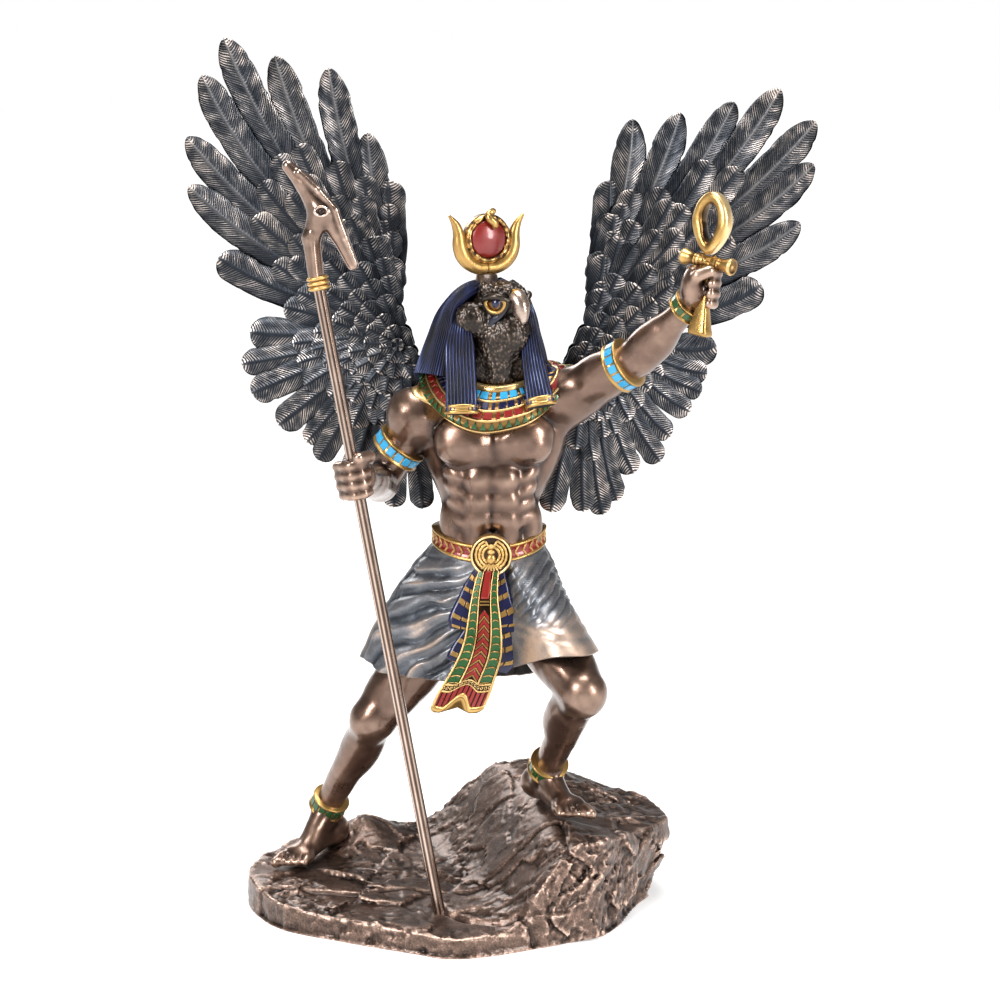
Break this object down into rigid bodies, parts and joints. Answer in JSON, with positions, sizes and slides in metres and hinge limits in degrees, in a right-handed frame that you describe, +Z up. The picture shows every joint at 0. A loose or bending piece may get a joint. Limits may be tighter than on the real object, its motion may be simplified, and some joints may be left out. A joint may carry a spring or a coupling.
{
  "type": "winged falcon-headed god figurine",
  "caption": "Winged falcon-headed figure lunging on a rugged rock, holding a long sceptre and a raised ankh.",
  "frame": {"origin": "middle of the rock base's flat underside", "axes": "+Z up, the figure faces -Y, +X is the figure's left"},
  "size_m": [0.2003, 0.0984, 0.2701],
  "materials": {
    "rock_bronze": "cold-cast bronze resin, rough, dark in the cracks and copper on the edges",
    "body_bronze": "cold-cast bronze resin, polished copper brown",
    "feather_bronze": "dark gunmetal patina with rubbed silver and copper ridges",
    "sceptre_copper": "polished pale copper"
  },
  "bodies": {
    "root": {"rock_base": "rock_bronze", "figure": "body_bronze", "wing_right": "feather_bronze", "wing_left": "feather_bronze", "sceptre": "sceptre_copper"}
  },
  "joints": []
}
